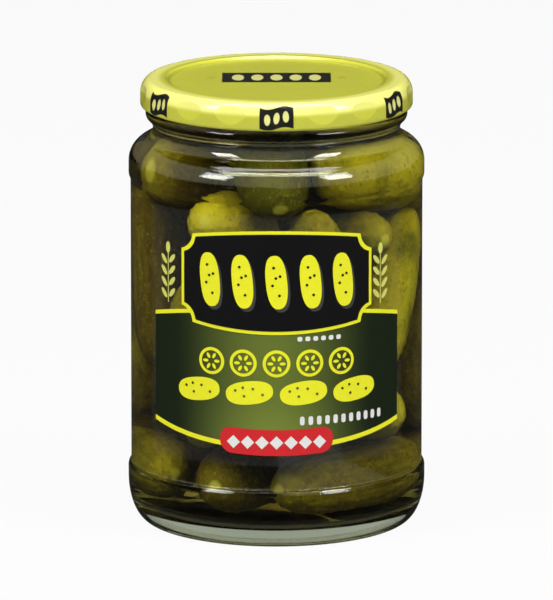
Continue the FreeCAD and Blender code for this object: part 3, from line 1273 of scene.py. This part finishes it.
class JAR_OT_stage(bpy.types.Operator):
    """Sets the floor, the even sky, the lamps and the camera"""

    bl_idname = "pickle_jar.stage"
    bl_label = "Set the stage"

    def execute(self, context):
        looks = context.scene.stage_looks
        scene = context.scene
        scene.view_settings.view_transform = "Standard"
        across = 2.0 * looks.floor_radius
        ring = [(x, y, 0.0) for x, y in oval(across, across, 0.0, 96)]
        floor = new_piece("floor", ring, [tuple(range(96))], floor_material(), False)

        world = bpy.data.worlds.new("sky")
        scene.world = world
        world.use_nodes = True
        world.node_tree.nodes.clear()
        board = Board(world.node_tree)
        seen = backdrop_share(board, SKY_MIRRORED)
        mirror = board.node("ShaderNodeLightPath", pick="Is Glossy Ray")
        even = looks.sky * (1.0 - mirror)
        values = {"Color": (1.0, 1.0, 1.0), "Strength": even + seen * (1.0 - even)}
        sky = board.node("ShaderNodeBackground", None, values)
        board.node("ShaderNodeOutputWorld", None, {"Surface": sky})

        middle = Vector((0.0, 0.0, (JAR_LOW.z + LID_HIGH.z) * 0.5))
        side = looks.lamp_side
        for name, bearing, rise, wide, tall, power in (
            ("lamp_left", -side, looks.lamp_rise, 0.34, 0.38, looks.lamp_power),
            ("lamp_right", side, looks.lamp_rise, 0.34, 0.38, looks.lamp_power),
            ("lamp_top", 0.0, looks.top_rise, 1.10, 0.34, looks.top_power),
            ("lamp_sheen", 0.0, SHEEN_RISE, 1.00, 0.36, looks.top_power * SHEEN_SHARE),
        ):
            lamp = bpy.data.lights.new(name, "AREA")
            lamp.shape = "RECTANGLE"
            lamp.size = wide
            lamp.size_y = tall
            lamp.energy = power
            holder = bpy.data.objects.new(name, lamp)
            scene.collection.objects.link(holder)
            level = math.cos(rise)
            holder.location = middle + Vector(
                (math.sin(bearing) * level, -math.cos(bearing) * level, math.sin(rise))
            )
            aim(holder, middle)
            # The top lamp only lights, and the sheen lamp only shines.
            holder.visible_glossy = name != "lamp_top"
            holder.visible_diffuse = name != "lamp_sheen"

        camera = bpy.data.objects.new("camera", bpy.data.cameras.new("camera"))
        scene.collection.objects.link(camera)
        camera.data.sensor_width = 36.0
        camera.data.lens = LENS
        camera.data.clip_end = 50.0
        camera.location = CAMERA_PLACE
        camera.rotation_euler = (math.radians(90.0) - looks.camera_drop, 0.0, 0.0)
        scene.camera = camera
        return {"FINISHED"}


# ---- panel and registration ----


class JAR_PT_panel(bpy.types.Panel):
    """Lists the steps that finish the jar"""

    bl_idname = "JAR_PT_panel"
    bl_label = "Pickle Jar"
    bl_space_type = "VIEW_3D"
    bl_region_type = "UI"
    bl_category = "Pickle Jar"

    def draw(self, context):
        for step in STEPS:
            self.layout.operator(step.bl_idname)
        for name, group in LOOKS:
            box = self.layout.box()
            box.label(text=group.__doc__)
            for title in group.__annotations__:
                box.prop(getattr(context.scene, name), title)


STEPS = (JAR_OT_stage, JAR_OT_glass, JAR_OT_brine, JAR_OT_gherkins, JAR_OT_lid, JAR_OT_label)
LOOKS = (
    ("jar_looks", JarLooks),
    ("gherkin_looks", GherkinLooks),
    ("lid_looks", LidLooks),
    ("label_looks", LabelLooks),
    ("stage_looks", StageLooks),
)


def register():
    for name, group in LOOKS:
        bpy.utils.register_class(group)
        setattr(bpy.types.Scene, name, bpy.props.PointerProperty(type=group))
    for step in STEPS:
        bpy.utils.register_class(step)
    bpy.utils.register_class(JAR_PT_panel)


def unregister():
    bpy.utils.unregister_class(JAR_PT_panel)
    for step in reversed(STEPS):
        bpy.utils.unregister_class(step)
    for name, group in reversed(LOOKS):
        delattr(bpy.types.Scene, name)
        bpy.utils.unregister_class(group)


def main():
    register()
    bpy.ops.pickle_jar.stage()
    bpy.ops.pickle_jar.glass()
    bpy.ops.pickle_jar.brine()
    bpy.ops.pickle_jar.gherkins()
    bpy.ops.pickle_jar.lid()
    bpy.ops.pickle_jar.label()


if __name__ == "__main__":
    main()
